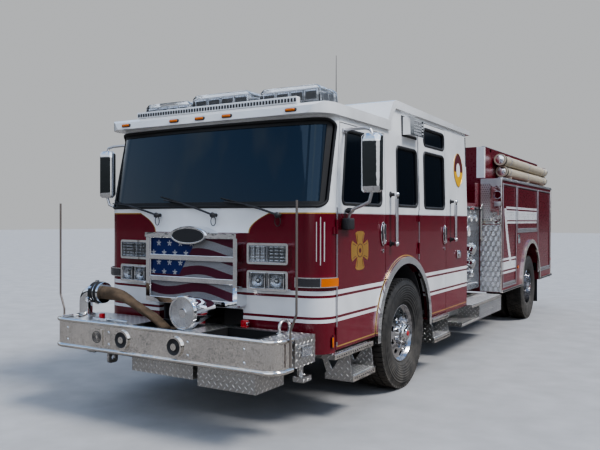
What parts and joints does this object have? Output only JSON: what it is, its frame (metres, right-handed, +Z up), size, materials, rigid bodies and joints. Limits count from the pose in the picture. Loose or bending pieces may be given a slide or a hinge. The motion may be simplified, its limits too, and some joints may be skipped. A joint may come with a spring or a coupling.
{
  "type": "fire engine",
  "caption": "Custom cab pumper fire engine with opening cab doors, steered front wheels, twin rear wheels, a front bumper deck, a pump house, a hose bed and a swivelling deck gun.",
  "frame": {"origin": "on the ground under the centre of the vehicle's box", "axes": "+Z up, +Y rearward along the vehicle, +X to the driver's side"},
  "size_m": [3.1988, 9.918, 3.21],
  "materials": {
    "body_paint": "high gloss maroon paint, white above the belt line, gold pinstripes",
    "white_paint": "high gloss white paint",
    "chassis_black": "satin black chassis paint",
    "cast_block": "painted casting",
    "polished_steel": "polished stainless steel",
    "swirled_steel": "stainless steel with an engine turned swirl",
    "tread_plate": "bright aluminium tread plate",
    "polished_aluminium": "polished forged aluminium",
    "chrome": "bright chrome plate",
    "hose_jacket": "tan woven hose jacket",
    "cab_lining": "dark textured lining",
    "tinted_glass": "dark tinted safety glass",
    "seat_vinyl": "dark seat vinyl and moulded trim",
    "lamp_lens": "clear lens over silver reflectors",
    "tank_plastic": "moulded tank plastic",
    "suction_tube": "ribbed tan suction tube with bright ends",
    "tyre_rubber": "worn black tread rubber"
  },
  "bodies": {
    "chassis": {"body_lockers": "body_paint", "body_trim": "polished_steel", "bumper": "polished_steel", "bumper_deck": "tread_plate", "cab_floor": "cab_lining", "cab_front": "body_paint", "cab_glass": "tinted_glass", "cab_interior": "seat_vinyl", "cab_roof": "white_paint", "cab_trim": "polished_steel", "cab_walls": "body_paint", "deck_hose": "hose_jacket", "drive_shaft": "chassis_black", "engine": "cast_block", "frame_rails": "chassis_black", "front_axle": "chassis_black", "grille": "chrome", "guide_rods": "chrome", "hose_bed": "body_paint", "hose_load": "hose_jacket", "inlet_elbow": "chrome", "lamps": "chrome", "pump_house": "body_paint", "pump_panels": "swirled_steel", "rear_axle": "chassis_black", "roof_lights": "lamp_lens", "shutters": "body_paint", "siren": "chrome", "steps": "tread_plate", "suction_tubes": "suction_tube", "tail": "tread_plate", "water_tank": "tank_plastic"},
    "front_wheel_left": {"front_tyre_left": "tyre_rubber", "front_rim_left": "polished_aluminium"},
    "front_wheel_right": {"front_tyre_right": "tyre_rubber", "front_rim_right": "polished_aluminium"},
    "rear_wheels_left": {"rear_tyres_left": "tyre_rubber", "rear_rims_left": "polished_aluminium"},
    "rear_wheels_right": {"rear_tyres_right": "tyre_rubber", "rear_rims_right": "polished_aluminium"},
    "knuckle_left": {"knuckle_left": "chassis_black"},
    "knuckle_right": {"knuckle_right": "chassis_black"},
    "tie_rod": {"tie_rod": "chassis_black"},
    "door_front_left": {"door_front_left": "body_paint", "glass_front_left": "tinted_glass", "mirror_left": "chrome"},
    "door_front_right": {"door_front_right": "body_paint", "glass_front_right": "tinted_glass", "mirror_right": "chrome"},
    "door_rear_left": {"door_rear_left": "body_paint", "glass_rear_left": "tinted_glass"},
    "door_rear_right": {"door_rear_right": "body_paint", "glass_rear_right": "tinted_glass"},
    "deck_gun_base": {"deck_gun_base": "chrome"},
    "deck_gun_barrel": {"deck_gun_barrel": "chrome"}
  },
  "joints": [
    {"name": "steer_left", "type": "hinge", "parent": "chassis", "child": "knuckle_left", "pos_m": [0.88, -2.601, 0.555], "axis": [0, 0, 1], "range_deg": [-35, 35]},
    {"name": "steer_right", "type": "hinge", "parent": "chassis", "child": "knuckle_right", "pos_m": [-0.88, -2.601, 0.555], "axis": [0, 0, 1], "range_deg": [-35, 35]},
    {"name": "tie_rod_pivot", "type": "hinge", "parent": "knuckle_left", "child": "tie_rod", "pos_m": [0.88, -2.421, 0.4297], "axis": [0, 0, 1], "range_deg": [-35, 35]},
    {"name": "front_wheel_left_spin", "type": "hinge", "parent": "knuckle_left", "child": "front_wheel_left", "pos_m": [1.035, -2.601, 0.555], "axis": [1, 0, 0], "continuous": true},
    {"name": "rear_wheels_left_spin", "type": "hinge", "parent": "chassis", "child": "rear_wheels_left", "pos_m": [0.9275, 3.069, 0.545], "axis": [1, 0, 0], "continuous": true},
    {"name": "door_front_left_hinge", "type": "hinge", "parent": "chassis", "child": "door_front_left", "pos_m": [1.23, -4.105, 1.5], "axis": [0, 0, -1], "range_deg": [0, 75]},
    {"name": "door_rear_left_hinge", "type": "hinge", "parent": "chassis", "child": "door_rear_left", "pos_m": [1.23, -2.234, 1.5], "axis": [0, 0, -1], "range_deg": [0, 75]},
    {"name": "front_wheel_right_spin", "type": "hinge", "parent": "knuckle_right", "child": "front_wheel_right", "pos_m": [-1.035, -2.601, 0.555], "axis": [1, 0, 0], "continuous": true},
    {"name": "rear_wheels_right_spin", "type": "hinge", "parent": "chassis", "child": "rear_wheels_right", "pos_m": [-0.9275, 3.069, 0.545], "axis": [1, 0, 0], "continuous": true},
    {"name": "door_front_right_hinge", "type": "hinge", "parent": "chassis", "child": "door_front_right", "pos_m": [-1.23, -4.105, 1.5], "axis": [0, 0, 1], "range_deg": [0, 75]},
    {"name": "door_rear_right_hinge", "type": "hinge", "parent": "chassis", "child": "door_rear_right", "pos_m": [-1.23, -2.234, 1.5], "axis": [0, 0, 1], "range_deg": [0, 75]},
    {"name": "gun_swivel", "type": "hinge", "parent": "chassis", "child": "deck_gun_base", "pos_m": [0, 0.259, 2.3], "axis": [0, 0, 1], "continuous": true},
    {"name": "gun_elevation", "type": "hinge", "parent": "deck_gun_base", "child": "deck_gun_barrel", "pos_m": [0, 0.259, 2.62], "axis": [-1, 0, 0], "range_deg": [-15, 80]}
  ],
  "couplings": [
    {"joint": "steer_right", "follows": "steer_left", "ratio": 1},
    {"joint": "tie_rod_pivot", "follows": "steer_left", "ratio": -1}
  ]
}
